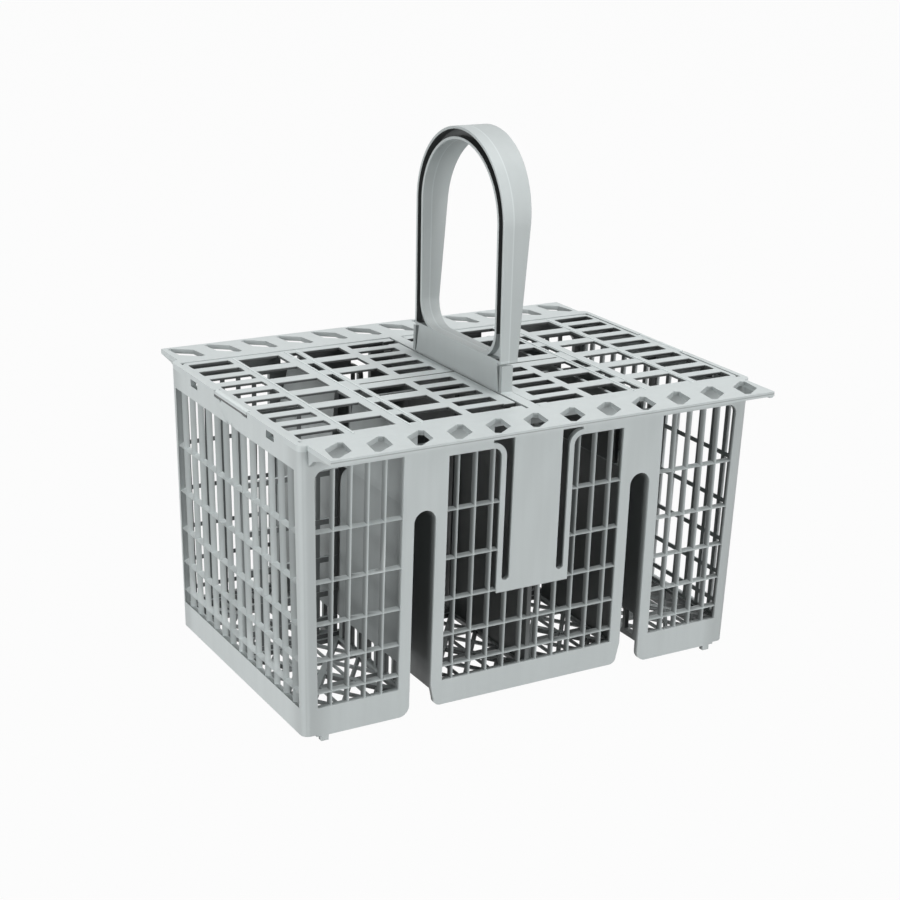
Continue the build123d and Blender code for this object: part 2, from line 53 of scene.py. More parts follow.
def merged_copy(node):
    """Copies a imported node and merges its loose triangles, as the start of the piece that stands for it."""
    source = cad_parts[node]
    piece = source.copy()
    piece.data = source.data.copy()
    piece.name = node + "_moulding"
    bpy.context.scene.collection.objects.link(piece)
    bpy.ops.object.select_all(action="DESELECT")
    piece.select_set(True)
    bpy.context.view_layer.objects.active = piece
    bpy.ops.object.mode_set(mode="EDIT")
    bpy.ops.mesh.select_all(action="SELECT")
    bpy.ops.mesh.remove_doubles(threshold=MERGE_DISTANCE)
    bpy.ops.object.mode_set(mode="OBJECT")
    return piece


def block_start(name, low, high):
    """Starts a piece as a block between two corners in millimetres, left open in edit mode, all selected."""
    low, high = Vector(low) * MILLIMETRE, Vector(high) * MILLIMETRE
    bpy.ops.object.select_all(action="DESELECT")
    bpy.ops.mesh.primitive_cube_add(size=1.0, location=(0.0, 0.0, 0.0))
    piece = bpy.context.object
    piece.name = name
    bpy.ops.object.mode_set(mode="EDIT")
    bpy.ops.transform.resize(value=high - low)
    bpy.ops.transform.translate(value=(low + high) / 2)
    return piece


def mirrored(piece, across_x, across_y):
    """Leaves edit mode and copies a piece's mesh to the other side of the basket's middle planes."""
    bpy.ops.object.mode_set(mode="OBJECT")
    both = piece.modifiers.new("both", "MIRROR")
    both.use_axis = (across_x, across_y, False)
    both.use_mirror_merge = False
    bpy.ops.object.modifier_apply(modifier=both.name)


body = merged_copy("basket_body")
slots = block_start("drain_slots", (DRAIN_REACH[0], DRAIN_ROW[0], DRAIN_FOOT),
                    (DRAIN_REACH[1], DRAIN_ROW[0] + DRAIN_WIDTH, DRAIN_HEAD))
bpy.ops.mesh.bevel(offset=DRAIN_CORNER * MILLIMETRE, segments=1, affect="EDGES")
bpy.ops.object.mode_set(mode="OBJECT")
row = slots.modifiers.new("row", "ARRAY")
row.count = int(DRAIN_ROW[1] / DRAIN_PITCH) + 1
row.use_relative_offset = False
row.use_constant_offset = True
row.constant_offset_displace = (0.0, DRAIN_PITCH * MILLIMETRE, 0.0)
bpy.ops.object.modifier_apply(modifier=row.name)
mirrored(slots, True, True)
bpy.context.view_layer.objects.active = body
drains = body.modifiers.new("drains", "BOOLEAN")
drains.object = slots
bpy.ops.object.modifier_apply(modifier=drains.name)
bpy.data.objects.remove(slots)
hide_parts("basket_body")

# The tool leaves a fine satin grain on the plastic, faint flow streaks run up the walls, and the grey, which
# has a little green in it, is a touch uneven.
body_tone = (0.575, 0.62, 0.62)
GRAIN_SIZE = 0.45 * MILLIMETRE
GRAIN_DEPTH = 0.05 * MILLIMETRE
GRAIN_STRENGTH = 0.25
CLOUD_SCALE = 28.0
CLOUD_SHARE = 0.55
STREAK_SCALE = (260.0, 260.0, 22.0)
EVEN_LEVEL = 0.775                  # of clouds and streaks together, where the colour is the tone itself
DULLNESS_SPREAD = 0.16
PLASTIC_IOR = 1.49
PLASTIC_SPECULAR = 0.45
SMOOTH_ANGLE = math.radians(17.0)


def worked(tree, operation, *terms):
    """Adds one Math node to a tree, fed by numbers or by other nodes' sockets, and returns its result."""
    node = tree.nodes.new("ShaderNodeMath")
    node.operation = operation
    for slot, term in zip(node.inputs, terms):
        if isinstance(term, (int, float)):
            slot.default_value = term
        else:
            tree.links.new(term, slot)
    return node.outputs[0]


def moulded_skin_group():
    """Node group of the moulded surface: colour, roughness and height from grain, streaks and clouding, the
    colour darkened by the painted shade fed in.
    """
    group = bpy.data.node_groups.new("moulded_skin", "ShaderNodeTree")
    sockets = (("Tone", "NodeSocketColor"), ("Shade", "NodeSocketFloat"), ("Cloud", "NodeSocketFloat"),
               ("Dullness", "NodeSocketFloat"))
    for name, kind in sockets:
        group.interface.new_socket(name, in_out="INPUT", socket_type=kind)
    results = (("Color", "NodeSocketColor"), ("Roughness", "NodeSocketFloat"), ("Height", "NodeSocketFloat"))
    for name, kind in results:
        group.interface.new_socket(name, in_out="OUTPUT", socket_type=kind)
    nodes, links = group.nodes, group.links
    entry = nodes.new("NodeGroupInput")
    leave = nodes.new("NodeGroupOutput")
    place = nodes.new("ShaderNodeTexCoord")

    cloud = nodes.new("ShaderNodeTexNoise")
    cloud.inputs["Scale"].default_value = CLOUD_SCALE
    cloud.inputs["Detail"].default_value = 3.0
    streak_map = nodes.new("ShaderNodeMapping")
    streak_map.inputs["Scale"].default_value = STREAK_SCALE
    streak = nodes.new("ShaderNodeTexNoise")
    streak.inputs["Scale"].default_value = 1.0
    streak.inputs["Detail"].default_value = 2.0
    grain = nodes.new("ShaderNodeTexNoise")
    grain.inputs["Detail"].default_value = 2.0
    grain.inputs["Scale"].default_value = 1.0 / GRAIN_SIZE
    links.new(place.outputs["Object"], cloud.inputs["Vector"])
    links.new(place.outputs["Object"], streak_map.inputs["Vector"])
    links.new(streak_map.outputs["Vector"], streak.inputs["Vector"])
    links.new(place.outputs["Object"], grain.inputs["Vector"])

    blend = worked(group, "MULTIPLY_ADD", cloud.outputs["Fac"], CLOUD_SHARE, streak.outputs["Fac"])
    uneven = worked(group, "SUBTRACT", blend, EVEN_LEVEL)
    amount = worked(group, "MULTIPLY_ADD", uneven, entry.outputs["Cloud"], 1.0)
    tint = nodes.new("ShaderNodeVectorMath")
    tint.operation = "SCALE"
    links.new(entry.outputs["Tone"], tint.inputs[0])
    # The painted shade darkens the colour.
    links.new(worked(group, "MULTIPLY", amount, entry.outputs["Shade"]), tint.inputs["Scale"])
    links.new(tint.outputs["Vector"], leave.inputs["Color"])
    dull = worked(group, "MULTIPLY_ADD", cloud.outputs["Fac"], DULLNESS_SPREAD, entry.outputs["Dullness"])
    links.new(dull, leave.inputs["Roughness"])
    links.new(grain.outputs["Fac"], leave.inputs["Height"])
    return group


moulded_skin = moulded_skin_group()


def ramp(tree, value, low, high, at_low, at_high, kind="SMOOTHSTEP"):
    """Adds a Map Range node that leads a value over from one level to another, and returns its result."""
    node = tree.nodes.new("ShaderNodeMapRange")
    node.interpolation_type = kind
    terms = {"Value": value, "From Min": low, "From Max": high, "To Min": at_low, "To Max": at_high}
    for name, term in terms.items():
        if isinstance(term, (int, float)):
            node.inputs[name].default_value = term
        else:
            tree.links.new(term, node.inputs[name])
    return node.outputs["Result"]


def painted_shade_start(name):
    """Starts a node group of painted shade, from a painted shade tone to a Shade; returns it with the place
    and the normal.
    """
    group = bpy.data.node_groups.new(name, "ShaderNodeTree")
    group.interface.new_socket("Painted shade tone", in_out="INPUT", socket_type="NodeSocketFloat")
    group.interface.new_socket("Shade", in_out="OUTPUT", socket_type="NodeSocketFloat")
    place = group.nodes.new("ShaderNodeTexCoord")
    split = group.nodes.new("ShaderNodeSeparateXYZ")
    facing = group.nodes.new("ShaderNodeSeparateXYZ")
    group.links.new(place.outputs["Object"], split.inputs["Vector"])
    group.links.new(place.outputs["Normal"], facing.inputs["Vector"])
    return group, split.outputs, facing.outputs


def inside_painted_shade_group():
    """Painted shade by place: full tone on the outer faces, falling within the walls to a painted shade tone,
    darker towards the floor, on plates facing front or back and at the right end, lighter on faces looking up
    and beyond the tunnel linings. Painted shade also dulls the corner posts and the handle's posts, with a
    painted shadow line under the finger tabs and a grey painted shade line along the flanges' edges."""
    rim_height = 123.0 * MILLIMETRE
    wall_height = 120.0 * MILLIMETRE
    floor_height = 13.0 * MILLIMETRE
    rim_half_length = 105.0 * MILLIMETRE
    rim_half_depth = 62.35 * MILLIMETRE
    end_lean = 2.9 * MILLIMETRE
    front_lean = 1.3 * MILLIMETRE
    lid_face = 122.7 * MILLIMETRE
    end_skin = (0.8 * MILLIMETRE, 4.0 * MILLIMETRE)
    front_skin = (0.12 * MILLIMETRE, 1.6 * MILLIMETRE)
    top_skin = (0.05 * MILLIMETRE, 0.4 * MILLIMETRE)
    lining = (50.0 * MILLIMETRE, 57.0 * MILLIMETRE)
    right_end = (85.0 * MILLIMETRE, 95.0 * MILLIMETRE)
    floor_light, rim_light = 0.6, 1.1
    front_shade_loss, upward_light_gain = 0.6, 1.0
    end_room_light, right_end_light = 1.6, 0.5
    tab_half_width, tab_reach = 15.75 * MILLIMETRE, 0.4 * MILLIMETRE
    tab_shadow_line, tab_shadow_half, tab_shadow_loss = 121.05 * MILLIMETRE, 0.5 * MILLIMETRE, 0.85
    flange_edge = 81.5 * MILLIMETRE
    edge_shade_line, edge_shade_half, edge_shade_loss = 122.0 * MILLIMETRE, 0.22 * MILLIMETRE, 0.35
    corner_post, corner_light = (5.0 * MILLIMETRE, 14.0 * MILLIMETRE), 0.84
    corner_top = 120.5 * MILLIMETRE
    bar_top, post_shade_loss = 123.3 * MILLIMETRE, 0.28
    group, (x, y, z), (_, facing_y, facing_z) = painted_shade_start("inside")
    entry = group.nodes.new("NodeGroupInput")
    leave = group.nodes.new("NodeGroupOutput")
    # Painted shade within the walls: darker towards the floor, on plates facing front or back and at the
    # right end.
    drop = worked(group, "SUBTRACT", rim_height, z)
    half_length = worked(group, "MULTIPLY_ADD", drop, -end_lean / wall_height, rim_half_length)
    half_depth = worked(group, "MULTIPLY_ADD", drop, -front_lean / wall_height, rim_half_depth)
    from_end = worked(group, "SUBTRACT", half_length, worked(group, "ABSOLUTE", x))
    from_front = worked(group, "SUBTRACT", half_depth, worked(group, "ABSOLUTE", y))
    from_top = worked(group, "SUBTRACT", lid_face, z)
    end_depth = ramp(group, from_end, *end_skin, 0.0, 1.0)
    front_depth = ramp(group, from_front, *front_skin, 0.0, 1.0)
    top_depth = ramp(group, from_top, *top_skin, 0.0, 1.0)
    within = worked(group, "MINIMUM", worked(group, "MINIMUM", end_depth, front_depth), top_depth)
    low_down = ramp(group, z, floor_height, rim_height, floor_light, rim_light, "LINEAR")
    across = worked(group, "MULTIPLY_ADD", worked(group, "ABSOLUTE", facing_y), -front_shade_loss, 1.0)
    upwards = worked(group, "MULTIPLY_ADD", worked(group, "MAXIMUM", facing_z, 0.0), upward_light_gain, 1.0)
    end_room = ramp(group, worked(group, "ABSOLUTE", x), *lining, 1.0, end_room_light)
    far_end = ramp(group, x, *right_end, 1.0, right_end_light)
    room = worked(group, "MULTIPLY", worked(group, "MULTIPLY", upwards, end_room), far_end)
    light = worked(group, "MULTIPLY", worked(group, "MULTIPLY", low_down, across), room)
    deep = worked(group, "MULTIPLY", entry.outputs["Painted shade tone"], light)
    fall = worked(group, "MULTIPLY_ADD", within, worked(group, "SUBTRACT", deep, 1.0), 1.0)

    # Painted shadow: a dark line under each finger tab.
    tab_shadow = worked(group, "LESS_THAN", worked(group, "ABSOLUTE", y), tab_half_width)
    tab_shadow = worked(group, "MULTIPLY", tab_shadow, worked(group, "COMPARE", z, tab_shadow_line, tab_shadow_half))
    tab_shadow = worked(group, "MULTIPLY", tab_shadow, worked(group, "LESS_THAN", from_end, tab_reach))
    # Painted shade: a grey line along the flanges' edges, the shade of a groove the mesh lacks.
    edge_shade = worked(group, "GREATER_THAN", worked(group, "ABSOLUTE", y), flange_edge)
    edge_shade = worked(group, "MULTIPLY", edge_shade, worked(group, "COMPARE", z, edge_shade_line, edge_shade_half))
    shade_lines = worked(group, "MULTIPLY_ADD", edge_shade, -edge_shade_loss, 1.0)
    shade_lines = worked(group, "MULTIPLY_ADD", tab_shadow, -tab_shadow_loss, shade_lines)
    # Painted shade dulls the corner posts below the flanges and the handle's posts above the bar.
    end_part = worked(group, "MAXIMUM", from_end, 0.0)
    from_corner = worked(group, "ADD", end_part, worked(group, "MAXIMUM", from_front, 0.0))
    corner = ramp(group, from_corner, *corner_post, corner_light, 1.0)
    corner = worked(group, "MAXIMUM", corner, worked(group, "GREATER_THAN", z, corner_top))
    posts = worked(group, "MULTIPLY_ADD", worked(group, "GREATER_THAN", z, bar_top), -post_shade_loss, 1.0)
    shade_lines = worked(group, "MULTIPLY", shade_lines, worked(group, "MULTIPLY", corner, posts))
    group.links.new(worked(group, "MULTIPLY", fall, shade_lines), leave.inputs["Shade"])
    return group


def plastic(name, tone, shading, painted_shade_tone, cloud, dullness):
    """One piece's plastic: the moulded skin with that piece's colour, painted shade, clouding and dullness.
    """
    material = bpy.data.materials.new(name)
    material.use_nodes = True
    nodes, links = material.node_tree.nodes, material.node_tree.links
    shader = nodes["Principled BSDF"]
    shader.inputs["IOR"].default_value = PLASTIC_IOR
    shader.inputs["Specular IOR Level"].default_value = PLASTIC_SPECULAR
    skin = nodes.new("ShaderNodeGroup")
    skin.node_tree = moulded_skin
    skin.inputs["Tone"].default_value = (*tone, 1.0)
    depth = nodes.new("ShaderNodeGroup")
    depth.node_tree = shading
    depth.inputs["Painted shade tone"].default_value = painted_shade_tone
    links.new(depth.outputs["Shade"], skin.inputs["Shade"])
    skin.inputs["Cloud"].default_value = cloud
    skin.inputs["Dullness"].default_value = dullness
    bump = nodes.new("ShaderNodeBump")
    bump.inputs["Strength"].default_value = GRAIN_STRENGTH
    bump.inputs["Distance"].default_value = GRAIN_DEPTH
    links.new(skin.outputs["Color"], shader.inputs["Base Color"])
    links.new(skin.outputs["Roughness"], shader.inputs["Roughness"])
    links.new(skin.outputs["Height"], bump.inputs["Height"])
    links.new(bump.outputs["Normal"], shader.inputs["Normal"])
    return material


def finished(piece, body, material):
    """Shades a piece, gives it its plastic and fixes it to its body."""
    bpy.ops.object.select_all(action="DESELECT")
    piece.select_set(True)
    bpy.context.view_layer.objects.active = piece
    bpy.ops.object.shade_smooth_by_angle(angle=SMOOTH_ANGLE)
    shading = piece.modifiers.new("shading", "WEIGHTED_NORMAL")
    shading.keep_sharp = True
    shading.weight = 100
    bpy.ops.object.modifier_apply(modifier=shading.name)
    piece.data.materials.clear()
    piece.data.materials.append(material)
    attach(piece, body)


# Painted shade by place, used by the basket, its added plates and the lids.
inside = inside_painted_shade_group()
body_plastic = plastic("body_plastic", body_tone, inside, painted_shade_tone=0.40, cloud=0.10, dullness=0.36)
finished(body, "basket", body_plastic)

# Lining crests
# Plates that carry the tunnel linings on to just under the lids, moulded with the basket. The outer ones lean
# in and leave a gap at mid depth, the inner ones run through.
CREST_TOP = 119.8
CREST_FOOT = 90.5
CREST_LEAN = 2.9
CREST_FACES = (55.7, 57.72)         # from and to x at the foot
CREST_FOOT_ROW = (5.8, 59.9)        # from mid depth, at the foot
CREST_TOP_ROW = (8.3, 52.0)         # and at the top
INNER_CREST_FACES = (44.2, 46.0)
INNER_CREST_FOOT = 88.5
INNER_CREST_HALF = 52.0
INNER_CREST_ROUND = 0.2
FACING_UP = 0.9
FLAT_ANGLE = math.radians(0.5)
EDGE_ANGLE = math.radians(25.0)


def rounded(piece, radius):
    """Joins a piece's flat faces and rounds its edges."""
    bpy.ops.object.select_all(action="DESELECT")
    piece.select_set(True)
    bpy.context.view_layer.objects.active = piece
    bpy.ops.object.mode_set(mode="EDIT")
    bpy.ops.mesh.select_all(action="SELECT")
    bpy.ops.mesh.dissolve_limited(angle_limit=FLAT_ANGLE)
    bpy.ops.object.mode_set(mode="OBJECT")
    rounding = piece.modifiers.new("rounding", "BEVEL")
    rounding.width = radius
    rounding.segments = 2
    rounding.limit_method = "ANGLE"
    rounding.angle_limit = EDGE_ANGLE
    rounding.use_clamp_overlap = False
    bpy.ops.object.modifier_apply(modifier=rounding.name)


crests = block_start("lining_crests", (CREST_FACES[0], CREST_FOOT_ROW[0], CREST_FOOT),
                     (CREST_FACES[1], CREST_FOOT_ROW[1], CREST_TOP))
bpy.ops.mesh.select_all(action="DESELECT")
form = bmesh.from_edit_mesh(crests.data)
for face in form.faces:
    if face.normal.z > FACING_UP:
        face.select_set(True)
bmesh.update_edit_mesh(crests.data)
foot_middle = sum(CREST_FOOT_ROW) / 2
top_middle = sum(CREST_TOP_ROW) / 2
shorter = (CREST_TOP_ROW[1] - CREST_TOP_ROW[0]) / (CREST_FOOT_ROW[1] - CREST_FOOT_ROW[0])
bpy.ops.transform.resize(value=(1.0, shorter, 1.0))
bpy.ops.transform.translate(value=Vector((-CREST_LEAN, top_middle - foot_middle, 0.0)) * MILLIMETRE)
mirrored(crests, True, True)
finished(crests, "basket", body_plastic)
inner_crests = block_start("inner_crests", (INNER_CREST_FACES[0], -INNER_CREST_HALF, INNER_CREST_FOOT),
                           (INNER_CREST_FACES[1], INNER_CREST_HALF, CREST_TOP))
mirrored(inner_crests, True, False)
rounded(inner_crests, INNER_CREST_ROUND * MILLIMETRE)
finished(inner_crests, "basket", body_plastic)

# Partition bars
# The cross partition at mid depth is a lattice: level bars at the heights of the walls' rows and uprights
# between them, moulded with the basket.
BAR_ROWS = (86.6, 65.5, 48.6, 33.2, 21.3)
BAR_ENDS = (57.3, 99.0)
BAR_HALF_HEIGHT = 1.2
BAR_HALF_DEPTH = 0.8
UPRIGHT_COUNT = 5
UPRIGHT_FIRST = 58.3
UPRIGHT_PITCH = 8.4
UPRIGHT_HALF_WIDTH = 1.0
UPRIGHT_HALF_DEPTH = 0.7
UPRIGHT_FOOT, UPRIGHT_TOP = 13.0, 88.0
BAR_ROUND = 0.15


def block_more(low, high):
    """Adds one more block to the piece that is open in edit mode; only the new block is then selected."""
    low, high = Vector(low) * MILLIMETRE, Vector(high) * MILLIMETRE
    bpy.ops.mesh.select_all(action="DESELECT")
    bpy.ops.mesh.primitive_cube_add(size=1.0, location=(0.0, 0.0, 0.0))
    bpy.ops.transform.resize(value=high - low)
    bpy.ops.transform.translate(value=(low + high) / 2)


def bar_corners(height):
    """Two corners of the level bar at a height."""
    return ((BAR_ENDS[0], -BAR_HALF_DEPTH, height - BAR_HALF_HEIGHT),
            (BAR_ENDS[1], BAR_HALF_DEPTH, height + BAR_HALF_HEIGHT))


partition = block_start("partition_bars", *bar_corners(BAR_ROWS[0]))
for height in BAR_ROWS[1:]:
    block_more(*bar_corners(height))
for k in range(UPRIGHT_COUNT):
    x = UPRIGHT_FIRST + UPRIGHT_PITCH * k
    block_more((x - UPRIGHT_HALF_WIDTH, -UPRIGHT_HALF_DEPTH, UPRIGHT_FOOT),
               (x + UPRIGHT_HALF_WIDTH, UPRIGHT_HALF_DEPTH, UPRIGHT_TOP))
mirrored(partition, True, False)
rounded(partition, BAR_ROUND * MILLIMETRE)
finished(partition, "basket", body_plastic)

# Floor lattice
# Each compartment's floor is a fine star lattice of ribs, moulded with the basket so that water runs off:
# fields crossed by both diagonals.
FLOOR_MIDDLE = 12.0
RIB = 2.0
FLOOR_DEPTH = (0.8, 60.0)
FLOOR_LENGTHS = ((57.0, 99.2), (0.8, 44.4))     # the end and the middle compartments
FIELDS = 3                                      # each way
bpy.ops.object.select_all(action="DESELECT")
y0, y1 = FLOOR_DEPTH
for k, (x0, x1) in enumerate(FLOOR_LENGTHS):
    if k:
        bpy.ops.mesh.select_all(action="DESELECT")
    bpy.ops.mesh.primitive_grid_add(x_subdivisions=FIELDS, y_subdivisions=FIELDS, size=1.0,
                                    location=(0.0, 0.0, 0.0))
    if not k:
        lattice = bpy.context.object
        lattice.name = "floor_lattice"
        bpy.ops.object.mode_set(mode="EDIT")
    bpy.ops.transform.resize(value=((x1 - x0) * MILLIMETRE, (y1 - y0) * MILLIMETRE, 1.0))
    bpy.ops.transform.translate(value=Vector(((x0 + x1) / 2, (y0 + y1) / 2, FLOOR_MIDDLE)) * MILLIMETRE)
    bpy.ops.mesh.poke()
bpy.ops.object.mode_set(mode="OBJECT")
ribs = lattice.modifiers.new("ribs", "WIREFRAME")
ribs.thickness = RIB * MILLIMETRE
bpy.ops.object.modifier_apply(modifier=ribs.name)
mirrored(lattice, True, True)
finished(lattice, "basket", body_plastic)

# Lids
# Two flat grilles, moulded in the same plastic and hinged on pins beside the bar. A hollow thins the grille
# from below, fine ridges run along it, and a half-round lip on each finger tab gives the thumb a hold.
# Painted shade darkens the slots, and the ridges and lips are painted lighter as a highlight.
lid_tone = (0.575, 0.62, 0.62)
# Painted shade, darker than the basket's, within the lids' slots and hollow.
lid_plastic = plastic("lid_plastic", lid_tone, inside, painted_shade_tone=0.20, cloud=0.10, dullness=0.36)
# A lighter tone of the same plastic for ridges and lips: a painted highlight.
ridge_highlight_tone = (0.66, 0.71, 0.71)
ridge_highlight_plastic = plastic("ridge_highlight_plastic", ridge_highlight_tone, inside, painted_shade_tone=0.50, cloud=0.10, dullness=0.36)
LIP_RADIUS = 1.0
LIP_LENGTH = 31.0
LIP_SIDES = 16
LIP_ROUND = 0.2
LIP_X, LIP_Z = 103.9, 122.3
HOLLOW_X = (8.1, 100.4)
HOLLOW_HALF_DEPTH = 55.2
HOLLOW_FOOT = 120.0
GRILLE_UNDERSIDE = 121.6
RIDGES = ((78.9, 79.8), (54.8, 55.7), (49.4, 50.3))
RIDGE_HALF_LENGTH = 56.0
RIDGE_FOOT, RIDGE_TOP = 122.2, 123.0
SLOTS_EACH_HALF = 5
MOUTH_FOOT, MOUTH_TOP = 121.0, 124.0
SLOT_MOUTHS = (                     # from x, to x, pitch, width, extra room at mid depth
    (82.2, 100.3, 11.4, 6.6, 0.0),
    (8.4, 26.2, 10.55, 6.2, 3.4),
)


def lid_cutter(side):
    """Cutter of one lid: the hollow under the grille and the wider mouths of its two rows of slots."""
    def across(x0, x1, y0, y1, z0, z1):
        """Two corners of a box on this lid's side."""
        return (min(side * x0, side * x1), y0, z0), (max(side * x0, side * x1), y1, z1)

    hollow = across(*HOLLOW_X, -HOLLOW_HALF_DEPTH, HOLLOW_HALF_DEPTH, HOLLOW_FOOT, GRILLE_UNDERSIDE)
    cutter = block_start("lid_cutter", *hollow)
    for x0, x1, pitch, width, room in SLOT_MOUTHS:
        for k in range(SLOTS_EACH_HALF):
            y = pitch * (k + 0.5) + room
            for way in (-1.0, 1.0):
                y0, y1 = way * y - width / 2, way * y + width / 2
                block_more(*across(x0, x1, y0, y1, MOUTH_FOOT, MOUTH_TOP))
    bpy.ops.object.mode_set(mode="OBJECT")
    return cutter


for side, node, lid_body in ((-1.0, "left_lid", "lid_left"), (1.0, "right_lid", "lid_right")):
    lid = merged_copy(node)
    cutter = lid_cutter(side)
    bpy.context.view_layer.objects.active = lid
    opening = lid.modifiers.new("opening", "BOOLEAN")
    opening.object = cutter
    opening.use_self = True
    bpy.ops.object.modifier_apply(modifier=opening.name)
    bpy.data.objects.remove(cutter)
    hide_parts(node)
    finished(lid, lid_body, lid_plastic)
    bpy.ops.object.select_all(action="DESELECT")
    bpy.ops.mesh.primitive_cylinder_add(vertices=LIP_SIDES, radius=LIP_RADIUS * MILLIMETRE,
                                        depth=LIP_LENGTH * MILLIMETRE)
    lip = bpy.context.object
    lip.name = node + "_lip"
    bpy.ops.object.mode_set(mode="EDIT")
    bpy.ops.transform.rotate(value=math.pi / 2, orient_axis="X", center_override=(0.0, 0.0, 0.0))
    bpy.ops.transform.translate(value=Vector((side * LIP_X, 0.0, LIP_Z)) * MILLIMETRE)
    for x0, x1 in RIDGES:
        low, high = sorted((side * x0, side * x1))
        block_more((low, -RIDGE_HALF_LENGTH, RIDGE_FOOT), (high, RIDGE_HALF_LENGTH, RIDGE_TOP))
    bpy.ops.object.mode_set(mode="OBJECT")
    rounded(lip, LIP_ROUND * MILLIMETRE)
    finished(lip, lid_body, ridge_highlight_plastic)

# Handle
# A loop of H section, moulded in the same plastic, tapered towards its base and snapped onto the bar between
# two posts. A fine parting line runs round where the halves of the tool met. Painted shade darkens its groove
# and dulls its crown, lower legs, base and far half, and a painted highlight lightens the parting line.
HANDLE_SPRING = 189.5
# Painted shade in the groove, on the base, the far half, the crown and the lower legs, and how strong it is.
GROOVE_MIDDLE, GROOVE_HALF = 32.8, 1.52
BASE_TOP, BASE_SHADE = 135.9, 0.96
# The parting line is a real seam; its lighter colour is a painted highlight.
PARTING_X, PARTING_HALF, PARTING_HIGHLIGHT = 1.3, 0.28, 0.16
FAR_HALF_SHADE = 0.06
CROWN, CROWN_SHADES = (200.0, 222.0), (0.93, 0.84)
LEGS, LEG_SHADES = (145.0, 200.0), (0.86, 1.0)
HANDLE_ROUND = 0.25


def handle_painted_shade_group():
    """Painted shade of the handle: dark in the groove, duller on crown, lower legs, base and far half, and a
    painted highlight along the parting line."""
    group, (x, y, z), _ = painted_shade_start("handle_shade")
    entry = group.nodes.new("NodeGroupInput")
    leave = group.nodes.new("NodeGroupOutput")
    over_spring = worked(group, "MAXIMUM", worked(group, "SUBTRACT", z, HANDLE_SPRING * MILLIMETRE), 0.0)
    rise = worked(group, "MULTIPLY", over_spring, over_spring)
    from_middle = worked(group, "SQRT", worked(group, "ADD", worked(group, "MULTIPLY", y, y), rise))
    groove = worked(group, "COMPARE", from_middle, GROOVE_MIDDLE * MILLIMETRE, GROOVE_HALF * MILLIMETRE)
    above = worked(group, "GREATER_THAN", z, BASE_TOP * MILLIMETRE)
    groove = worked(group, "MULTIPLY", groove, above)
    deeper = worked(group, "SUBTRACT", entry.outputs["Painted shade tone"], 1.0)
    deep = worked(group, "MULTIPLY_ADD", groove, deeper, 1.0)
    crown = ramp(group, z, CROWN[0] * MILLIMETRE, CROWN[1] * MILLIMETRE, *CROWN_SHADES)
    legs = ramp(group, z, LEGS[0] * MILLIMETRE, LEGS[1] * MILLIMETRE, *LEG_SHADES)
    below = worked(group, "MULTIPLY_ADD", above, -BASE_SHADE, BASE_SHADE)
    base = worked(group, "MULTIPLY", crown, worked(group, "MAXIMUM", legs, below))
    # Painted highlight along the parting line, and painted shade on the far half.
    parting_highlight = worked(group, "COMPARE", x, PARTING_X * MILLIMETRE, PARTING_HALF * MILLIMETRE)
    far = worked(group, "GREATER_THAN", x, PARTING_X * MILLIMETRE)
    far_half = worked(group, "MULTIPLY_ADD", far, -FAR_HALF_SHADE, 1.0)
    bands = worked(group, "MULTIPLY_ADD", parting_highlight, PARTING_HIGHLIGHT, far_half)
    shade = worked(group, "MULTIPLY", worked(group, "MULTIPLY", deep, base), bands)
    group.links.new(shade, leave.inputs["Shade"])
    return group


handle_tone = (0.561, 0.605, 0.605)
handle_plastic = plastic("handle_plastic", handle_tone, handle_painted_shade_group(),
                         painted_shade_tone=0.14, cloud=0.08, dullness=0.42)
handle = merged_copy("handle")
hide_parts("handle")
rounded(handle, HANDLE_ROUND * MILLIMETRE)
finished(handle, "basket", handle_plastic)

# Floor and background
# A plain sheet of white paper that fades into a white surround. It keeps the basket's soft shadow and throws
# little light back up.
FLOOR_SIZE = 6.0
FLOOR_PAPER = 0.12                  # how much light the floor throws back
FLOOR_WHITE = 0.97                  # share of plain white that is seen, the rest keeps the shadow


def white_floor():
    """White where it is looked at, with the basket's shadow, and dim as a source of light."""
    material = bpy.data.materials.new("white_floor")
    material.use_nodes = True
    nodes, links = material.node_tree.nodes, material.node_tree.links
    nodes.clear()
    out = nodes.new("ShaderNodeOutputMaterial")
    paper = nodes.new("ShaderNodeBsdfDiffuse")
    paper.inputs["Color"].default_value = (FLOOR_PAPER, FLOOR_PAPER, FLOOR_PAPER, 1.0)
    glow = nodes.new("ShaderNodeEmission")
    glow.inputs["Color"].default_value = (1.0, 1.0, 1.0, 1.0)
    glow.inputs["Strength"].default_value = 1.0
    seen = nodes.new("ShaderNodeLightPath")
    share = nodes.new("ShaderNodeMath")
    share.operation = "MULTIPLY"
    share.inputs[1].default_value = FLOOR_WHITE
    mix = nodes.new("ShaderNodeMixShader")
    looked_at = seen.outputs["Is Camera Ray"]
    for ray in ("Is Glossy Ray", "Is Transmission Ray"):
        looked_at = worked(material.node_tree, "MAXIMUM", looked_at, seen.outputs[ray])
    links.new(looked_at, share.inputs[0])
    links.new(share.outputs[0], mix.inputs["Fac"])
    links.new(paper.outputs["BSDF"], mix.inputs[1])
    links.new(glow.outputs["Emission"], mix.inputs[2])
    links.new(mix.outputs["Shader"], out.inputs["Surface"])
    return material


bpy.ops.object.select_all(action="DESELECT")
bpy.ops.mesh.primitive_plane_add(size=FLOOR_SIZE, location=(0.0, 0.0, 0.0))
floor = bpy.context.object
floor.name = "floor"
floor.data.materials.append(white_floor())

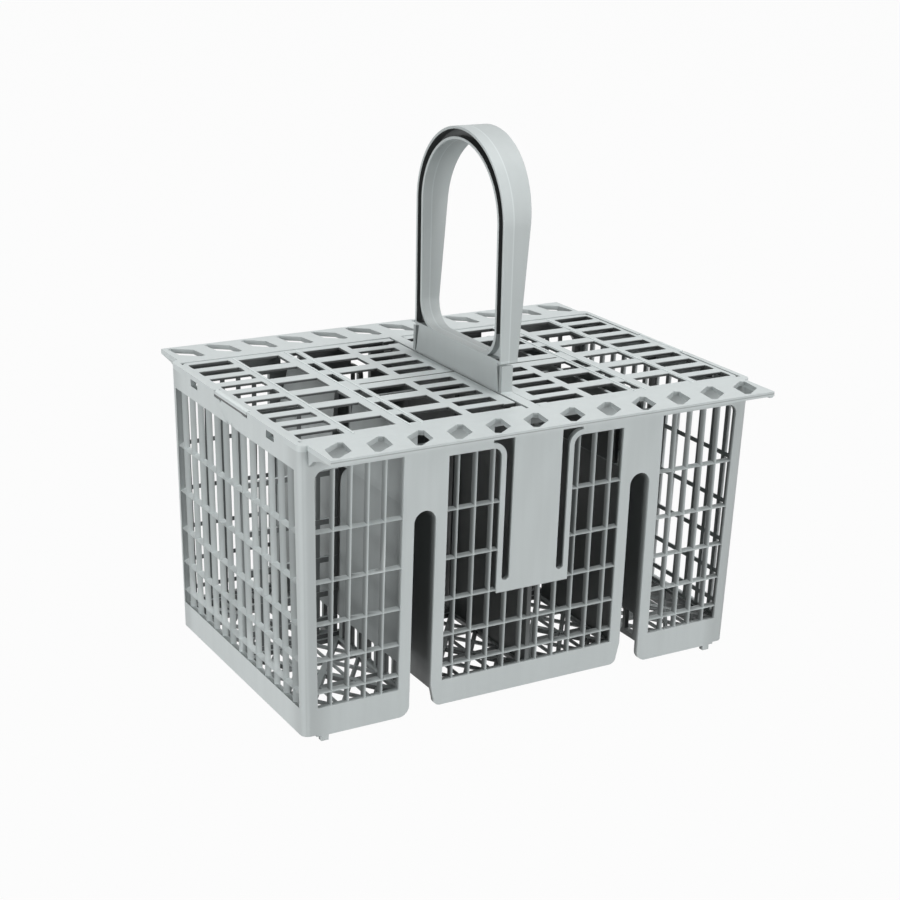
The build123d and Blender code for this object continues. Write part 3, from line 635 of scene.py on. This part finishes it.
# Light
# A dim surround that looks white, a broad lamp above, one on the left with a low one under it for the inside,
# and one in front.
SURROUND_LEVEL = 0.03
world = bpy.data.worlds.new("studio")
bpy.context.scene.world = world
world.use_nodes = True
surround, links = world.node_tree.nodes, world.node_tree.links
surround.clear()
world_out = surround.new("ShaderNodeOutputWorld")
light_sky = surround.new("ShaderNodeBackground")
light_sky.inputs["Strength"].default_value = SURROUND_LEVEL
white_sky = surround.new("ShaderNodeBackground")
white_sky.inputs["Strength"].default_value = 1.0
for sky in (light_sky, white_sky):
    sky.inputs["Color"].default_value = (1.0, 1.0, 1.0, 1.0)
sky_seen = surround.new("ShaderNodeLightPath")
sky_mix = surround.new("ShaderNodeMixShader")
sky_looked_at = sky_seen.outputs["Is Camera Ray"]
for ray in ("Is Glossy Ray", "Is Transmission Ray"):
    sky_looked_at = worked(world.node_tree, "MAXIMUM", sky_looked_at, sky_seen.outputs[ray])
links.new(sky_looked_at, sky_mix.inputs["Fac"])
links.new(light_sky.outputs["Background"], sky_mix.inputs[1])
links.new(white_sky.outputs["Background"], sky_mix.inputs[2])
links.new(sky_mix.outputs["Shader"], world_out.inputs["Surface"])


def soft_lamp(name, place, target, width, height, power):
    """Rectangular area lamp turned towards a point of the basket."""
    lamp = bpy.data.lights.new(name, "AREA")
    lamp.shape = "RECTANGLE"
    lamp.size = width
    lamp.size_y = height
    lamp.energy = power
    holder = bpy.data.objects.new(name, lamp)
    bpy.context.scene.collection.objects.link(holder)
    holder.location = place
    holder.rotation_euler = (Vector(target) - Vector(place)).to_track_quat("-Z", "Y").to_euler()


BASKET_MIDDLE = (0.0, 0.0, 0.1)
LOW_MIDDLE = (0.0, 0.0, 0.045)
soft_lamp("top", (0.4, -0.25, 2.6), BASKET_MIDDLE, width=1.2, height=1.2, power=56.0)
soft_lamp("left", (-1.75, -0.35, 0.35), BASKET_MIDDLE, width=0.8, height=0.8, power=15.0)
soft_lamp("left_card", (-0.7, -0.05, 0.045), LOW_MIDDLE, width=0.7, height=0.08, power=1.4)
soft_lamp("front", (0.25, -1.9, 0.4), BASKET_MIDDLE, width=0.8, height=0.8, power=21.0)

# Camera
# Stands at the photograph's place: in front, to the left and a little above, with a slight roll.
VIEW_AZIMUTH = math.radians(-30.554)
VIEW_ELEVATION = math.radians(18.683)
VIEW_ROLL = math.radians(1.658)
VIEW_POINT = Vector((-0.00122, 0.079863, 0.808483))     # in the camera's own axes: right, up, back
GROUND_SHIFT = Vector((0.0, 0.0, 0.003))                # the feet stand this far below the walls' edge
FOCAL_PIXELS = 1832.72
PICTURE_PIXELS = 900
SENSOR = 36.0
back = Vector((math.sin(VIEW_AZIMUTH) * math.cos(VIEW_ELEVATION),
               -math.cos(VIEW_AZIMUTH) * math.cos(VIEW_ELEVATION), math.sin(VIEW_ELEVATION)))
level_right = Vector((0.0, 0.0, 1.0)).cross(back).normalized()
level_up = back.cross(level_right)
right = math.cos(VIEW_ROLL) * level_right + math.sin(VIEW_ROLL) * level_up
up = -math.sin(VIEW_ROLL) * level_right + math.cos(VIEW_ROLL) * level_up
turn = Matrix((right, up, back)).transposed()
camera = bpy.data.cameras.new("camera")
camera.sensor_width = SENSOR
camera.lens = FOCAL_PIXELS / PICTURE_PIXELS * SENSOR
stand = bpy.data.objects.new("camera", camera)
bpy.context.scene.collection.objects.link(stand)
stand.matrix_world = Matrix.Translation(turn @ VIEW_POINT + GROUND_SHIFT) @ turn.to_4x4()
bpy.context.scene.camera = stand
bpy.context.scene.view_settings.view_transform = "Standard"
